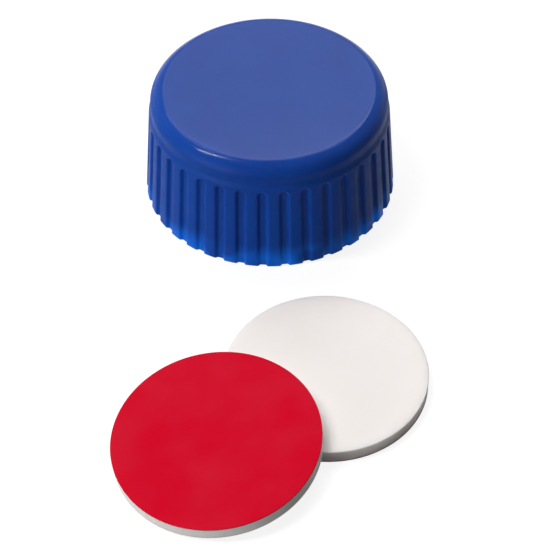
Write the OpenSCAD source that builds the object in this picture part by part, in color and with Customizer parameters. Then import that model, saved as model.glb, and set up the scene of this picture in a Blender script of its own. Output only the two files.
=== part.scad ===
// Closed-top screw cap for a short-thread vial, with its septum liner.
// The cap stands on its open rim. Two liners lie in front of it, one with
// the silicone side up and one with the film side up, the second leaning
// on the first. The bore is the wall between the turns of the cap's thread.
// Millimetres, +Z up, origin at the centre of the cap's mouth.

/* [Cap outside] */
// Height of the cap, from the open rim to the flat top
cap_h = 5.85; // [5.2:0.05:8]
// Diameter of the smooth band under the rounded top edge
crown_d = 11.2; // [10.8:0.1:11.6]
// Diameter over the ribs where they start, under the band
shoulder_d = 11.4; // [11.2:0.1:12]
// Diameter over the ribs at the open rim
rim_d = 12.1; // [11.6:0.1:13]
// Radius of the rounded top edge
edge_r = 0.65; // [0.3:0.05:0.9]
// Size of the small chamfer round the foot of the skirt
rim_break = 0.06; // [0.02:0.02:0.12]
// Height over which the wall steps out from the band to the ribs
shoulder_h = 0.3; // [0.1:0.05:0.5]
// Height of the ribbed part of the skirt
rib_zone_h = 4.55; // [3.5:0.05:4.7]

/* [Grip] */
// Number of grooves round the skirt
groove_count = 36; // [24:1:44]
// Width of each groove
groove_w = 0.42; // [0.3:0.02:0.5]
// Depth of each groove below the tops of the ribs
groove_depth = 0.15; // [0.08:0.01:0.25]
// Smooth wall left between the shoulder and the grooves' round ends
groove_margin = 0.1; // [0:0.05:0.5]
// Turn of the whole groove pattern about the axis, in degrees
groove_turn = 6.5; // [0:0.1:15]

/* [Cap inside] */
// Thickness of the closed top
top_wall = 0.85; // [0.7:0.05:1.2]
// Radial clearance of the liner in its seat and of the neck in the bore
seat_clearance = 0.15; // [0.05:0.05:0.2]
// Radius of the inner corner between the bore and the closed top
seat_fillet = 0.15; // [0.1:0.05:0.3]
// Height of the chamfer that leads the neck into the mouth
mouth_chamfer = 0.3; // [0.1:0.05:0.4]

/* [Liner] */
// Diameter of the liner
liner_d = 9; // [8.6:0.1:9.2]
// Thickness of the silicone layer
silicone_t = 0.6; // [0.4:0.05:0.75]
// Thickness of the film layer
film_t = 0.05; // [0.03:0.01:0.15]

/* [Lay-out] */
// Centre of the flat liner, from left to right
flat_x = 2.4; // [-4:0.05:4]
// Centre of the flat liner, from front to back
flat_y = -13; // [-16:0.05:-11.5]
// Direction from the flat liner to the leaning one, in degrees
lean_turn = -139.9; // [-160:0.1:-100]
// Length of the leaning liner's underside below the edge that it leans on
lean_reach = 6.16; // [5:0.01:7]
// Gap left at that edge
lean_gap = 0.01; // [0.01:0.01:0.1]

/* [Hidden] */
$fn = 96;

over = 1;                     // how far a cutter runs past what it cuts

crown_r = crown_d / 2;
shoulder_r = shoulder_d / 2;
rim_r = rim_d / 2;
band_low = rib_zone_h + shoulder_h;

liner_r = liner_d / 2;
liner_t = silicone_t + film_t;

bore_r = liner_r + seat_clearance;
bore_h = cap_h - top_wall;
mouth_r = bore_r + mouth_chamfer;

groove_len = rib_zone_h - groove_margin;
skirt_lean = atan((rim_r - shoulder_r) / (rib_zone_h - rim_break));

lean_angle = asin((liner_t + lean_gap) / lean_reach);
lean_shift = liner_r + (lean_reach - liner_r) * cos(lean_angle);

// Half-section of the cap's outside, as a solid of revolution
module cap_half_section() {
    polygon([
        [0, 0],
        [rim_r - rim_break, 0],
        [rim_r, rim_break],
        [shoulder_r, rib_zone_h],
        [crown_r, band_low],
        [crown_r, cap_h - edge_r],
        [crown_r - edge_r, cap_h],
        [0, cap_h]
    ]);
    translate([crown_r - edge_r, cap_h - edge_r]) circle(r = edge_r);
}

// Half-section of the bore: chamfered mouth, straight wall, round inner corner
module bore_half_section() {
    difference() {
        polygon([
            [0, -over],
            [mouth_r + over, -over],
            [bore_r, mouth_chamfer],
            [bore_r, bore_h],
            [0, bore_h]
        ]);
        translate([bore_r - seat_fillet, bore_h - seat_fillet])
            difference() {
                square(seat_fillet + over);
                circle(r = seat_fillet);
            }
    }
}

// Face of one groove: straight, with a round upper end
module groove_face() {
    translate([-groove_w / 2, -over])
        square([groove_w, groove_len - groove_w / 2 + over]);
    translate([0, groove_len - groove_w / 2]) circle(d = groove_w);
}

// Grooves that follow the lean of the skirt, open at the rim
module grooves() {
    for (i = [0 : groove_count - 1])
        rotate(groove_turn + i * 360 / groove_count)
            translate([rim_r, 0, 0])
                rotate([0, -skirt_lean, 0])
                    translate([-groove_depth, 0, 0])
                        rotate([90, 0, 90])
                            linear_extrude(groove_depth + over) groove_face();
}

// One layer of a liner
module liner_layer(bottom, thickness) {
    translate([0, 0, bottom]) cylinder(r = liner_r, h = thickness);
}

// Puts a liner flat on the surface
module lay_flat() {
    translate([flat_x, flat_y, 0]) children();
}

// Puts a liner with its low edge on the surface, leaning on the flat one
module lean() {
    translate([flat_x, flat_y, 0])
        rotate(lean_turn)
            translate([lean_shift, 0, liner_r * sin(lean_angle)])
                rotate([0, lean_angle, 0])
                    children();
}

module screw_cap() {
    color([0.10, 0.22, 0.52])
        difference() {
            rotate_extrude() cap_half_section();
            rotate_extrude() bore_half_section();
            grooves();
        }
}

module back_septum_film() {
    color([0.80, 0.06, 0.16]) lay_flat() liner_layer(0, film_t);
}

module back_septum_silicone() {
    color([0.93, 0.92, 0.90]) lay_flat() liner_layer(film_t, silicone_t);
}

module front_septum_silicone() {
    color([0.93, 0.92, 0.90]) lean() liner_layer(0, silicone_t);
}

module front_septum_film() {
    color([0.80, 0.06, 0.16]) lean() liner_layer(silicone_t, film_t);
}

screw_cap();
back_septum_film();
back_septum_silicone();
front_septum_silicone();
front_septum_film();
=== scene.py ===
import math

import bmesh
import bpy
import numpy as np
from mathutils import Matrix, Vector


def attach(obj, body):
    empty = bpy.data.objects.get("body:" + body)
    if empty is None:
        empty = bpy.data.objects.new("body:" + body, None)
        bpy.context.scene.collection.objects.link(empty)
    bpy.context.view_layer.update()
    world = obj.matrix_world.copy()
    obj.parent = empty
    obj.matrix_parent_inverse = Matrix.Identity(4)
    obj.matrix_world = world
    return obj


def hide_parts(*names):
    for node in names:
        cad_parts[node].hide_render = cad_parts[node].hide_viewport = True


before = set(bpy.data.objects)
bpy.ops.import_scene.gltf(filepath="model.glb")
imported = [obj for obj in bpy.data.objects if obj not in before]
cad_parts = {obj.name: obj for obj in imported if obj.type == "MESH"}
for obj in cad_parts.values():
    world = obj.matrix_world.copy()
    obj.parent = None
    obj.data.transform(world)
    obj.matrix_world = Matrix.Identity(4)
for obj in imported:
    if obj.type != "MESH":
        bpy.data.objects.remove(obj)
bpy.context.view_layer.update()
print("frame loaded:", ", ".join(sorted(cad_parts)))

mm = 0.001  # every size below is in millimetres, and every mesh in metres


view = {
    "target": (0.196, -9.403, 3.0),
    "distance": 77.82,
    "pitch": 46.655,  # degrees down from level
    "roll": -0.543,
    "lens": 115.03,
    "sensor": 36,
    "clip": (1, 10000),  # nearest and farthest distance drawn
}


def placeCamera(values):
    pitch = math.radians(values["pitch"])
    forward = Vector((0, math.cos(pitch), -math.sin(pitch)))
    data = bpy.data.cameras.new("camera")
    data.lens = values["lens"]
    data.sensor_width = values["sensor"]
    data.clip_start, data.clip_end = (x * mm for x in values["clip"])
    camera = bpy.data.objects.new("camera", data)
    bpy.context.scene.collection.objects.link(camera)
    roll = Matrix.Rotation(math.radians(values["roll"]), 4, "Z")
    turn = Matrix.Rotation(math.pi / 2 - pitch, 4, "X") @ roll
    place = (Vector(values["target"]) - forward * values["distance"]) * mm
    camera.matrix_world = Matrix.Translation(place) @ turn
    bpy.context.scene.camera = camera


placeCamera(view)
print("camera placed")


def newMaterial(name):
    material = bpy.data.materials.new(name)
    material.use_nodes = True
    material.node_tree.nodes.clear()
    return material, material.node_tree.nodes, material.node_tree.links


def addNode(nodes, kind, **settings):
    node = nodes.new(kind)
    for key, value in settings.items():
        setattr(node, key, value)
    return node


# a material with one shader, and the coordinates its patterns are laid out in
def newSurface(name):
    material, nodes, links = newMaterial(name)
    output = addNode(nodes, "ShaderNodeOutputMaterial")
    shader = addNode(nodes, "ShaderNodeBsdfPrincipled")
    place = addNode(nodes, "ShaderNodeTexCoord").outputs["Object"]
    links.new(shader.outputs[0], output.inputs[0])
    return material, nodes, links, shader, place


# size is the width of one patch
def addNoise(nodes, links, coordinates, size, detail=3.0, roughness=0.5):
    noise = addNode(nodes, "ShaderNodeTexNoise")
    noise.inputs["Scale"].default_value = 1 / (size * mm)
    noise.inputs["Detail"].default_value = detail
    noise.inputs["Roughness"].default_value = roughness
    links.new(coordinates, noise.inputs["Vector"])
    return noise.outputs["Fac"]


# spread is the low and high end of the source, target those of the result
def addRange(nodes, links, source, spread, target, smooth=False):
    node = addNode(nodes, "ShaderNodeMapRange")
    node.interpolation_type = "SMOOTHSTEP" if smooth else "LINEAR"
    node.inputs["From Min"].default_value, node.inputs["From Max"].default_value = spread
    node.inputs["To Min"].default_value, node.inputs["To Max"].default_value = target
    links.new(source, node.inputs["Value"])
    return node.outputs["Result"]


noiseSpread = (0.3, 0.7)  # nearly all of a noise's values lie between these


# noise brought to the target, with spread as the part of its values in use
def addCloud(nodes, links, place, pattern, target=(0, 1), spread=noiseSpread):
    return addRange(nodes, links, addNoise(nodes, links, place, **pattern), spread, target)


def addColourMix(nodes, links, factor, first, second):
    node = addNode(nodes, "ShaderNodeMix", data_type="RGBA")
    links.new(factor, node.inputs["Factor"])
    for socket, value in ((node.inputs[6], first), (node.inputs[7], second)):
        if isinstance(value, tuple):
            socket.default_value = (*value, 1)
        else:
            links.new(value, socket)
    return node.outputs[2]


# relief gives the noise, its depth and how strongly it shows
def addBump(nodes, links, place, relief, normal=None):
    node = addNode(nodes, "ShaderNodeBump")
    node.inputs["Distance"].default_value = relief["depth"] * mm
    node.inputs["Strength"].default_value = relief["strength"]
    links.new(addNoise(nodes, links, place, **relief["pattern"]), node.inputs["Height"])
    if normal is not None:
        links.new(normal, node.inputs["Normal"])
    return node.outputs["Normal"]


# light that goes into the material and comes out near by
def setDepthOfLight(shader, values):
    shader.inputs["Subsurface Weight"].default_value = values["lightShare"]
    shader.inputs["Subsurface Radius"].default_value = values["lightColour"]
    shader.inputs["Subsurface Scale"].default_value = values["lightDepth"] * mm


def addPiece(name, points, faces, material, slotName, cadNodes, sharpAngle=40):
    mesh = bpy.data.meshes.new(name)
    mesh.from_pydata([tuple(float(x) * mm for x in p) for p in points], [], faces)
    work = bmesh.new()
    work.from_mesh(mesh)
    bmesh.ops.recalc_face_normals(work, faces=work.faces)
    openEdges = sum(1 for e in work.edges if len(e.link_faces) != 2)
    triangles = sum(len(f.verts) - 2 for f in work.faces)
    work.to_mesh(mesh)
    work.free()
    mesh.shade_smooth()
    mesh.set_sharp_from_angle(angle=math.radians(sharpAngle))
    mesh.materials.append(material)
    piece = bpy.data.objects.new(name, mesh)
    bpy.context.scene.collection.objects.link(piece)
    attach(piece, "root")
    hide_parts(*cadNodes)
    print(name, "made:", triangles, "triangles,", openEdges, "open edges")


# quads between two rings of points, each given by its first point's number
def ringFaces(lower, upper, count):
    pairs = [(k, (k + 1) % count) for k in range(count)]
    return [(lower + k, lower + n, upper + n, upper + k) for k, n in pairs]


# triangles from a ring to one point
def fanFaces(ring, centre, count):
    return [(ring + k, ring + (k + 1) % count, centre) for k in range(count)]


def smoothStep(t):
    t = np.clip(t, 0, 1)
    return t * t * (3 - 2 * t)


screwCap = {
    "height": 5.85,
    "crownRadius": 5.6,
    "shoulderRadius": 5.7,
    "rimRadius": 6.05,
    "edgeRound": 0.65,
    "edgePower": 1.7,         # 2 is a plain quarter circle, less turns in sooner at the flat top
    "rimRound": 0.06,
    "ribTop": 4.55,
    "shoulderTop": 4.85,
    "grooveCount": 36,
    "grooveTurn": 6.5,
    "grooveWidth": 0.42,
    "grooveDepth": 0.15,
    "grooveTop": 4.45,
    "grooveLip": 0.085,       # half the width over which a groove's wall turns
    "lipOutside": 0.8,        # how much of that half lies past the groove's nominal width
    "boreRadius": 4.65,
    "boreDepth": 5.0,
    "mouthRadius": 4.95,
    "seatRound": 0.15,
    "threadDepth": 0.45,
    "threadPitch": 1.5,
    "threadTurns": 1.75,
    "threadStart": 1.225,
    "threadRoot": 0.8,
    "threadCrest": 0.3,
    "threadFade": 30,         # degrees over which the ridge rises from the wall
}
# side offsets of the columns from a groove's middle, close together at its wall
columnOffsets = (0.07, 0.12, 0.155, 0.175, 0.19, 0.205, 0.22, 0.24, 0.28, 0.36, 0.44)
fixedOffset = 0.3             # up to here a column keeps its distance from the groove
columnReach = 6               # radius at which the offsets are laid out
boreColumnsPerGroove = 8
shoulderBlend = 0.05          # height over which the shoulder's step is eased at each end
# heights of the rings, close together where the grooves end
skirtHeights = (
    0.12, 0.5, 1.2, 2.0, 2.8, 3.5, 3.95, 4.1, 4.18,
    4.24, 4.27, 4.3, 4.325, 4.35, 4.37, 4.385, 4.4, 4.4125, 4.425, 4.4375,
    4.45, 4.4625, 4.475, 4.49, 4.52, 4.55, 4.6, 4.65, 4.7, 4.75, 4.8, 4.85, 4.9,
)
bandHeight = 5.05
footAngles = (0, 30, 60, 90)
edgeSteps = 25
seatSteps = 7
flatRings = (4.85, 4.5, 3.8, 2.6, 1.3, 0.5)
seatRings = (4.0, 3.0, 2.0, 1.0, 0.4)
boreHeights = (0.5, 0.65, 0.75, *np.arange(0.8, 4.31, 0.05), 4.45, 4.65)
threadZone = (0.7, 4.4)
# steps out and up that break the corners at the chamfer's two ends
mouthCorner = ((0.015, 0), (-0.005, 0.008), (-0.02, 0.02))
boreCorner = ((0.02, -0.02), (0.005, -0.003), (0, 0.02))


# radius over the ribs, up to the smooth band
def skirtRadius(values, z):
    drop = values["rimRadius"] - values["shoulderRadius"]
    slope = drop / (values["ribTop"] - values["rimRound"])
    line = values["rimRadius"] - slope * (z - values["rimRound"])
    low, high = values["ribTop"] - shoulderBlend, values["shoulderTop"] + shoulderBlend
    start = values["rimRadius"] - slope * (low - values["rimRound"])
    step = start + (values["crownRadius"] - start) * smoothStep((z - low) / (high - low))
    return np.where(z <= low, line, step)


# one ring of the outside, dipping into the grooves
def outerRing(values, radius, z):
    halfPitch = 180 / values["grooveCount"]
    edge = math.radians(halfPitch) * columnReach
    side = np.array([-edge, *[-x for x in reversed(columnOffsets)], 0, *columnOffsets])
    fanRadius = max(radius, values["crownRadius"] - values["edgeRound"])
    fixed = fixedOffset / fanRadius
    away = np.abs(side)
    angle = np.where(
        away <= fixedOffset,
        away / fanRadius,
        fixed + (away - fixedOffset) / (edge - fixedOffset) * (math.radians(halfPitch) - fixed),
    ) * np.sign(side)
    half = values["grooveWidth"] / 2
    roundCentre = values["grooveTop"] - half
    outside = np.hypot(side, max(z - roundCentre, 0)) - half
    lip = values["grooveLip"]
    share = smoothStep((lip * values["lipOutside"] - outside) / (2 * lip))
    reach = np.full(len(side), radius)
    if z <= values["ribTop"]:
        reach = np.minimum(radius, skirtRadius(values, np.array(z)) - share * values["grooveDepth"])
    points = []
    for g in range(values["grooveCount"]):
        turn = math.radians(values["grooveTurn"] + g * 2 * halfPitch)
        for r, a in zip(reach, angle):
            points.append((r * math.cos(turn + a), r * math.sin(turn + a), z))
    return points


# radius and height of each ring, from the foot to the middle of the top
def outerProfile(values):
    rimRound, rim = values["rimRound"], values["rimRadius"]
    profile = []
    for a in np.radians(footAngles):
        out, down = rimRound * math.sin(a), rimRound * math.cos(a)
        profile.append((rim - rimRound + out, rimRound - down))
    profile += [(float(skirtRadius(values, np.array(z))), z) for z in skirtHeights]
    edgeRound, height, crown = values["edgeRound"], values["height"], values["crownRadius"]
    profile.append((crown, bandHeight))
    power = 2 / values["edgePower"]
    for a in np.linspace(0, math.pi / 2, edgeSteps):
        out, up = edgeRound * max(math.cos(a), 0) ** power, edgeRound * math.sin(a) ** power
        profile.append((crown - edgeRound + out, height - edgeRound + up))
    return profile + [(r, height) for r in flatRings]


# how far the thread's ridge stands out of the bore at one place
def threadRise(values, degrees, z):
    rise = 0
    total, fade = 360 * values["threadTurns"], values["threadFade"]
    crest, root = values["threadCrest"] / 2, values["threadRoot"] / 2
    for turn in (0, 1):
        along = degrees + 360 * turn
        if along > total:
            continue
        share = float(smoothStep(min(1, along / fade, (total - along) / fade)))
        away = abs(z - values["threadStart"] - values["threadPitch"] * along / 360)
        flank = float(smoothStep((root - away) / (root - crest)))
        rise = max(rise, share * values["threadDepth"] * flank)
    return rise


def boreRings(values):
    count = values["grooveCount"] * boreColumnsPerGroove
    bore, mouth = values["boreRadius"], values["mouthRadius"]
    depth, seatRound = values["boreDepth"], values["seatRound"]
    lead = mouth - bore
    profile = [(mouth + out, up) for out, up in mouthCorner]
    profile += [(bore + out, lead + up) for out, up in boreCorner]
    profile += [(bore, z) for z in boreHeights]
    for a in np.linspace(0, math.pi / 2, seatSteps):
        out, up = seatRound * math.cos(a), seatRound * math.sin(a)
        profile.append((bore - seatRound + out, depth - seatRound + up))
    profile += [(r, depth) for r in seatRings]
    start = values["grooveTurn"] - 180 / values["grooveCount"]
    rings = []
    for r, z in profile:
        ring = []
        for k in range(count):
            degrees = (start + k * 360 / count) % 360
            threaded = threadZone[0] < z < threadZone[1]
            radius = r - (threadRise(values, degrees, z) if threaded else 0)
            turn = math.radians(degrees)
            ring.append((radius * math.cos(turn), radius * math.sin(turn), z))
        rings.append(ring)
    return rings


def buildCapMesh(values):
    points, faces = [], []
    outerRings = [outerRing(values, r, z) for r, z in outerProfile(values)]
    outerCount = len(outerRings[0])
    for ring in outerRings:
        points += ring
    for i in range(len(outerRings) - 1):
        faces += ringFaces(i * outerCount, (i + 1) * outerCount, outerCount)
    faces += fanFaces((len(outerRings) - 1) * outerCount, len(points), outerCount)
    points.append((0, 0, values["height"]))

    innerRings = boreRings(values)
    innerCount = len(innerRings[0])
    innerStart = len(points)
    for ring in innerRings:
        points += ring
    for i in range(len(innerRings) - 1):
        ring = innerStart + i * innerCount
        faces += ringFaces(ring, ring + innerCount, innerCount)
    faces += fanFaces(innerStart + (len(innerRings) - 1) * innerCount, len(points), innerCount)
    points.append((0, 0, values["boreDepth"]))

    # flat rim between the foot of the skirt and the mouth
    ratio = outerCount // innerCount
    middle = ratio // 2
    for k in range(innerCount):
        here, there = innerStart + k, innerStart + (k + 1) % innerCount
        outer = [(k * ratio + i) % outerCount for i in range(ratio + 1)]
        for i in range(ratio):
            inner = (here,) if i < middle else (there, here) if i == middle else (there,)
            faces.append((outer[i], outer[i + 1], *inner))
    return points, faces


bluePlastic = {
    "deep": (0.002, 0.046, 0.300),
    "light": (0.002, 0.056, 0.335),
    "cloud": {"size": 2.5, "detail": 4},
    # painted light at the foot: the brighter rim base colour and the emission colour of the painted
    # glow
    "rim": (0.002, 0.085, 0.480),
    "paintedRimGlow": (0.0, 0.045, 0.200),
    "rimHeights": (0.05, 1.4),        # the glow is gone at the second
    "rimPatch": {"size": 1.6, "detail": 2},
    "patchSpread": (0.42, 0.6),
    "patchGlow": (0.2, 1),
    "haze": {"size": 0.7, "detail": 3},
    "topRoughness": (0.10, 0.12),
    "sideRoughness": (0.44, 0.54),
    "satinHeights": (5.5, 5.75),      # between them the matt skirt turns into the satin top
    "specular": 0.11,
    "wave": {"pattern": {"size": 1.8, "detail": 2}, "depth": 0.02, "strength": 0.25},
    "grain": {
        "pattern": {"size": 0.06, "detail": 4, "roughness": 0.6}, "depth": 0.004, "strength": 0.35,
    },
    "lightShare": 0.6,
    "lightColour": (0.15, 0.4, 1.0),
    "lightDepth": 0.5,
}


def makeBluePlastic(values):
    material, nodes, links, shader, place = newSurface("bluePlastic")
    axes = addNode(nodes, "ShaderNodeSeparateXYZ")
    links.new(place, axes.inputs[0])
    height = axes.outputs["Z"]

    cloud = addCloud(nodes, links, place, values["cloud"])
    body = addColourMix(nodes, links, cloud, values["deep"], values["light"])
    # painted light: towards the thin foot of the skirt, in patches, a brighter base colour and a
    # blue emission stand in for light coming through the plastic
    heights = [z * mm for z in values["rimHeights"]]
    fade = addRange(nodes, links, height, heights, (1, 0), smooth=True)
    patch = addCloud(
        nodes, links, place, values["rimPatch"], values["patchGlow"], values["patchSpread"],
    )
    glow = addNode(nodes, "ShaderNodeMath", operation="MULTIPLY", use_clamp=True)
    links.new(fade, glow.inputs[0])
    links.new(patch, glow.inputs[1])
    colour = addColourMix(nodes, links, glow.outputs[0], body, values["rim"])
    links.new(colour, shader.inputs["Base Color"])
    # painted glow: emission that follows the foot's patch mask
    shader.inputs["Emission Color"].default_value = (*values["paintedRimGlow"], 1)
    links.new(glow.outputs[0], shader.inputs["Emission Strength"])

    heights = [z * mm for z in values["satinHeights"]]
    satin = addRange(nodes, links, height, heights, (0, 1), smooth=True)
    mixed = addNode(nodes, "ShaderNodeMix", data_type="FLOAT")
    haze = addNoise(nodes, links, place, **values["haze"])
    side = addRange(nodes, links, haze, noiseSpread, values["sideRoughness"])
    top = addRange(nodes, links, haze, noiseSpread, values["topRoughness"])
    links.new(satin, mixed.inputs["Factor"])
    links.new(side, mixed.inputs[2])
    links.new(top, mixed.inputs[3])
    links.new(mixed.outputs[0], shader.inputs["Roughness"])
    shader.inputs["Specular IOR Level"].default_value = values["specular"]

    wave = addBump(nodes, links, place, values["wave"])
    grain = addBump(nodes, links, place, values["grain"], wave)
    links.new(grain, shader.inputs["Normal"])
    setDepthOfLight(shader, values)
    return material


bluePlasticMaterial = makeBluePlastic(bluePlastic)
addPiece(
    "screwCap", *buildCapMesh(screwCap),
    bluePlasticMaterial, "cap_plastic", ["screw_cap"], sharpAngle=50,
)


# a silicone disc with a film bonded to one face, punched from sheet
liner = {
    "radius": 4.5,
    "silicone": 0.6,
    "film": 0.05,
    "edgeRound": 0.035,
    "filmRound": 0.012,
    "waist": 0.015,          # how far the punched side draws in at its middle
    "columns": 256,
}
flatLiner = {"x": 2.4, "y": -13}
# turn is the way to it from the flat liner's middle, in degrees, and reach is how far
# from its low edge the flat liner's edge meets its underside
leaningLiner = {"turn": -139.9, "reach": 6.16, "gap": 0.01}
discRings = (0.9, 2.2, 3.4, 4.1)
cornerSteps = 5
waistSteps = 9


# half-section of one layer, from the middle of its underside to the middle of its upper side
def discProfile(values, bottom, top, roundLow, roundHigh, waist):
    radius = values["radius"]
    quarter = np.linspace(0, math.pi / 2, cornerSteps)
    profile = [(r, bottom) for r in discRings]
    if roundLow:
        middle, level = radius - roundLow, bottom + roundLow
        for a in quarter:
            profile.append((middle + roundLow * math.sin(a), level - roundLow * math.cos(a)))
    else:
        profile.append((radius, bottom))
    if waist:
        low, high = bottom + roundLow, top - roundHigh
        for t in np.linspace(0, 1, waistSteps)[1:-1]:
            profile.append((radius - waist * math.sin(math.pi * t), low + (high - low) * t))
    if roundHigh:
        middle, level = radius - roundHigh, top - roundHigh
        for a in quarter:
            profile.append((middle + roundHigh * math.cos(a), level + roundHigh * math.sin(a)))
    else:
        profile.append((radius, top))
    return profile + [(r, top) for r in reversed(discRings)]


def buildDisc(profile, columns, place):
    points, faces = [], []
    for r, z in profile:
        for k in range(columns):
            turn = 2 * math.pi * k / columns
            points.append(place @ Vector((r * math.cos(turn), r * math.sin(turn), z)))
    for i in range(len(profile) - 1):
        faces += ringFaces(i * columns, (i + 1) * columns, columns)
    for ring, z in ((0, profile[0][1]), (len(profile) - 1, profile[-1][1])):
        faces += fanFaces(ring * columns, len(points), columns)
        points.append(place @ Vector((0, 0, z)))
    return points, faces


whiteSilicone = {
    "pale": (0.905, 0.858, 0.832),
    "warm": (0.885, 0.832, 0.802),
    "cloud": {"size": 3.0, "detail": 3},
    "haze": {"size": 0.5},
    "roughness": (0.5, 0.62),
    "specular": 0.3,
    "grain": {
        "pattern": {"size": 0.09, "detail": 4, "roughness": 0.6}, "depth": 0.006, "strength": 0.3,
    },
    "lightShare": 0.7,
    "lightColour": (1.0, 0.93, 0.88),
    "lightDepth": 0.35,
}
redFilm = {
    "main": (0.61, 0.003, 0.020),
    "shade": (0.60, 0.010, 0.030),
    "cloud": {"size": 2.2, "detail": 4},
    "cloudSpread": (0.35, 0.7),
    "haze": {"size": 0.4},
    "roughness": (0.40, 0.5),
    "specular": 0.004,
    "grain": {"pattern": {"size": 0.05, "detail": 3}, "depth": 0.003, "strength": 0.3},
}


def makeWhiteSilicone(values):
    material, nodes, links, shader, place = newSurface("whiteSilicone")
    cloud = addCloud(nodes, links, place, values["cloud"])
    colour = addColourMix(nodes, links, cloud, values["pale"], values["warm"])
    links.new(colour, shader.inputs["Base Color"])
    haze = addCloud(nodes, links, place, values["haze"], values["roughness"])
    links.new(haze, shader.inputs["Roughness"])
    links.new(addBump(nodes, links, place, values["grain"]), shader.inputs["Normal"])
    shader.inputs["Specular IOR Level"].default_value = values["specular"]
    setDepthOfLight(shader, values)
    return material


def makeRedFilm(values):
    material, nodes, links, shader, place = newSurface("redFilm")
    cloud = addCloud(nodes, links, place, values["cloud"], spread=values["cloudSpread"])
    colour = addColourMix(nodes, links, cloud, values["main"], values["shade"])
    links.new(colour, shader.inputs["Base Color"])
    haze = addCloud(nodes, links, place, values["haze"], values["roughness"])
    links.new(haze, shader.inputs["Roughness"])
    links.new(addBump(nodes, links, place, values["grain"]), shader.inputs["Normal"])
    shader.inputs["Specular IOR Level"].default_value = values["specular"]
    return material


# the low edge stands on the surface, the underside on the flat liner's edge
def leaningPlace(values, lean, flat):
    thickness = values["silicone"] + values["film"]
    angle = math.asin((thickness + lean["gap"]) / lean["reach"])
    shift = values["radius"] + (lean["reach"] - values["radius"]) * math.cos(angle)
    return (
        Matrix.Translation((flat["x"], flat["y"], 0))
        @ Matrix.Rotation(math.radians(lean["turn"]), 4, "Z")
        @ Matrix.Translation((shift, 0, values["radius"] * math.sin(angle)))
        @ Matrix.Rotation(angle, 4, "Y")
    )


def addLiner(label, values, place, filmUp, silicone, film):
    thick, thin = values["silicone"], values["film"]
    roundWide, roundThin, waist = values["edgeRound"], values["filmRound"], values["waist"]
    # bottom, top, rounding at each, waist
    if filmUp:
        wide = (0, thick, roundWide, 0, waist)
        narrow = (thick, thick + thin, 0, roundThin, 0)
    else:
        wide = (thin, thin + thick, 0, roundWide, waist)
        narrow = (0, thin, roundThin, 0, 0)
    points, faces = buildDisc(discProfile(values, *wide), values["columns"], place)
    addPiece(
        label + "SeptumSilicone", points, faces,
        silicone, "white_silicone", [label + "_septum_silicone"],
    )
    points, faces = buildDisc(discProfile(values, *narrow), values["columns"], place)
    addPiece(
        label + "SeptumFilm", points, faces,
        film, "red_film", [label + "_septum_film"],
    )


siliconeMaterial = makeWhiteSilicone(whiteSilicone)
filmMaterial = makeRedFilm(redFilm)
flatPlace = Matrix.Translation((flatLiner["x"], flatLiner["y"], 0))
frontPlace = leaningPlace(liner, leaningLiner, flatLiner)
addLiner("back", liner, flatPlace, False, siliconeMaterial, filmMaterial)
addLiner("front", liner, frontPlace, True, siliconeMaterial, filmMaterial)


studio = {
    "floorSize": 1000,
    "floorColour": (0.22, 0.22, 0.22),
    "floorGlow": 0.86,        # what the camera sees on top of the lit floor near the object
    "glowMiddle": (0, -7, 0),
    "glowReach": (35, 110),   # past the second distance the floor is as white as the background
    "ambient": 0.1,
    "lampAim": (0, -7, 2),
}
lamps = {
    # size is across and up, radiance the brightness of the lamp's face
    "topPanel": {"place": (0, 342, 292), "size": (230, 150), "radiance": 2.4},
    "mainSoftbox": {"place": (-45, 225, 385), "size": (400, 230), "radiance": 3.55},
    "streakLamp": {"place": (-210, -15, 398), "size": (2.5, 200), "radiance": 600.0},
    "leftSoftbox": {"place": (-343, -290, 55), "size": (240, 110), "radiance": 12.5},
}


# 1 for what the camera sees itself or in a mirror or glass
def cameraOrMirror(nodes, links):
    path = addNode(nodes, "ShaderNodeLightPath")
    first = addNode(nodes, "ShaderNodeMath", operation="MAXIMUM")
    second = addNode(nodes, "ShaderNodeMath", operation="MAXIMUM")
    links.new(path.outputs["Is Camera Ray"], first.inputs[0])
    links.new(path.outputs["Is Glossy Ray"], first.inputs[1])
    links.new(first.outputs[0], second.inputs[0])
    links.new(path.outputs["Is Transmission Ray"], second.inputs[1])
    return second.outputs[0]


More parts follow.
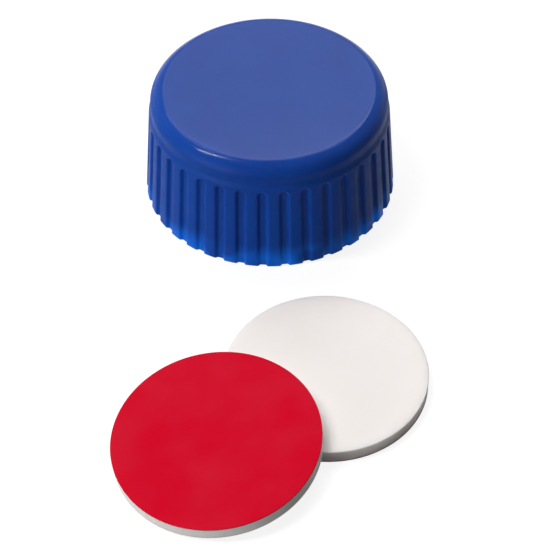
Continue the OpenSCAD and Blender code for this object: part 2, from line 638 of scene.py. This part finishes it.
def makeFloor(values):
    size = values["floorSize"] * mm
    mesh = bpy.data.meshes.new("floor")
    corners = [(-size, -size, 0), (size, -size, 0), (size, size, 0), (-size, size, 0)]
    mesh.from_pydata(corners, [], [(0, 1, 2, 3)])
    material, nodes, links = newMaterial("paleFloor")
    output = addNode(nodes, "ShaderNodeOutputMaterial")
    matt = addNode(nodes, "ShaderNodeBsdfDiffuse")
    matt.inputs["Color"].default_value = (*values["floorColour"], 1)
    light = addNode(nodes, "ShaderNodeEmission")
    both = addNode(nodes, "ShaderNodeAddShader")
    place = addNode(nodes, "ShaderNodeTexCoord").outputs["Object"]
    centre = addNode(nodes, "ShaderNodeVectorMath", operation="DISTANCE")
    links.new(place, centre.inputs[0])
    centre.inputs[1].default_value = [x * mm for x in values["glowMiddle"]]
    reach = [x * mm for x in values["glowReach"]]
    away = centre.outputs["Value"]
    glow = addRange(nodes, links, away, reach, (values["floorGlow"], 1), smooth=True)
    seen = addNode(nodes, "ShaderNodeMath", operation="MULTIPLY")
    links.new(glow, seen.inputs[0])
    links.new(cameraOrMirror(nodes, links), seen.inputs[1])
    links.new(seen.outputs[0], light.inputs["Strength"])
    links.new(matt.outputs[0], both.inputs[0])
    links.new(light.outputs[0], both.inputs[1])
    links.new(both.outputs[0], output.inputs[0])
    mesh.materials.append(material)
    floor = bpy.data.objects.new("floor", mesh)
    bpy.context.scene.collection.objects.link(floor)


def makeWorld(values):
    world = bpy.data.worlds.new("studio")
    world.use_nodes = True
    nodes, links = world.node_tree.nodes, world.node_tree.links
    nodes.clear()
    output = addNode(nodes, "ShaderNodeOutputWorld")
    back = addNode(nodes, "ShaderNodeBackground")
    back.inputs["Color"].default_value = (1, 1, 1, 1)
    seen = cameraOrMirror(nodes, links)
    strength = addRange(nodes, links, seen, (0, 1), (values["ambient"], 1))
    links.new(strength, back.inputs["Strength"])
    links.new(back.outputs[0], output.inputs[0])
    bpy.context.scene.world = world


def addLamp(name, values, aim):
    data = bpy.data.lights.new(name, "AREA")
    data.shape = "RECTANGLE"
    data.size, data.size_y = (x * mm for x in values["size"])
    data.energy = values["radiance"] * math.pi * data.size * data.size_y
    lamp = bpy.data.objects.new(name, data)
    lamp.visible_camera = False
    place = Vector(values["place"]) * mm
    lamp.location = place
    lamp.rotation_euler = (Vector(aim) * mm - place).to_track_quat("-Z", "Y").to_euler()
    bpy.context.scene.collection.objects.link(lamp)


makeFloor(studio)
makeWorld(studio)
for lampName, lampValues in lamps.items():
    addLamp(lampName, lampValues, studio["lampAim"])
bpy.context.scene.view_settings.view_transform = "Standard"
print("studio ready")
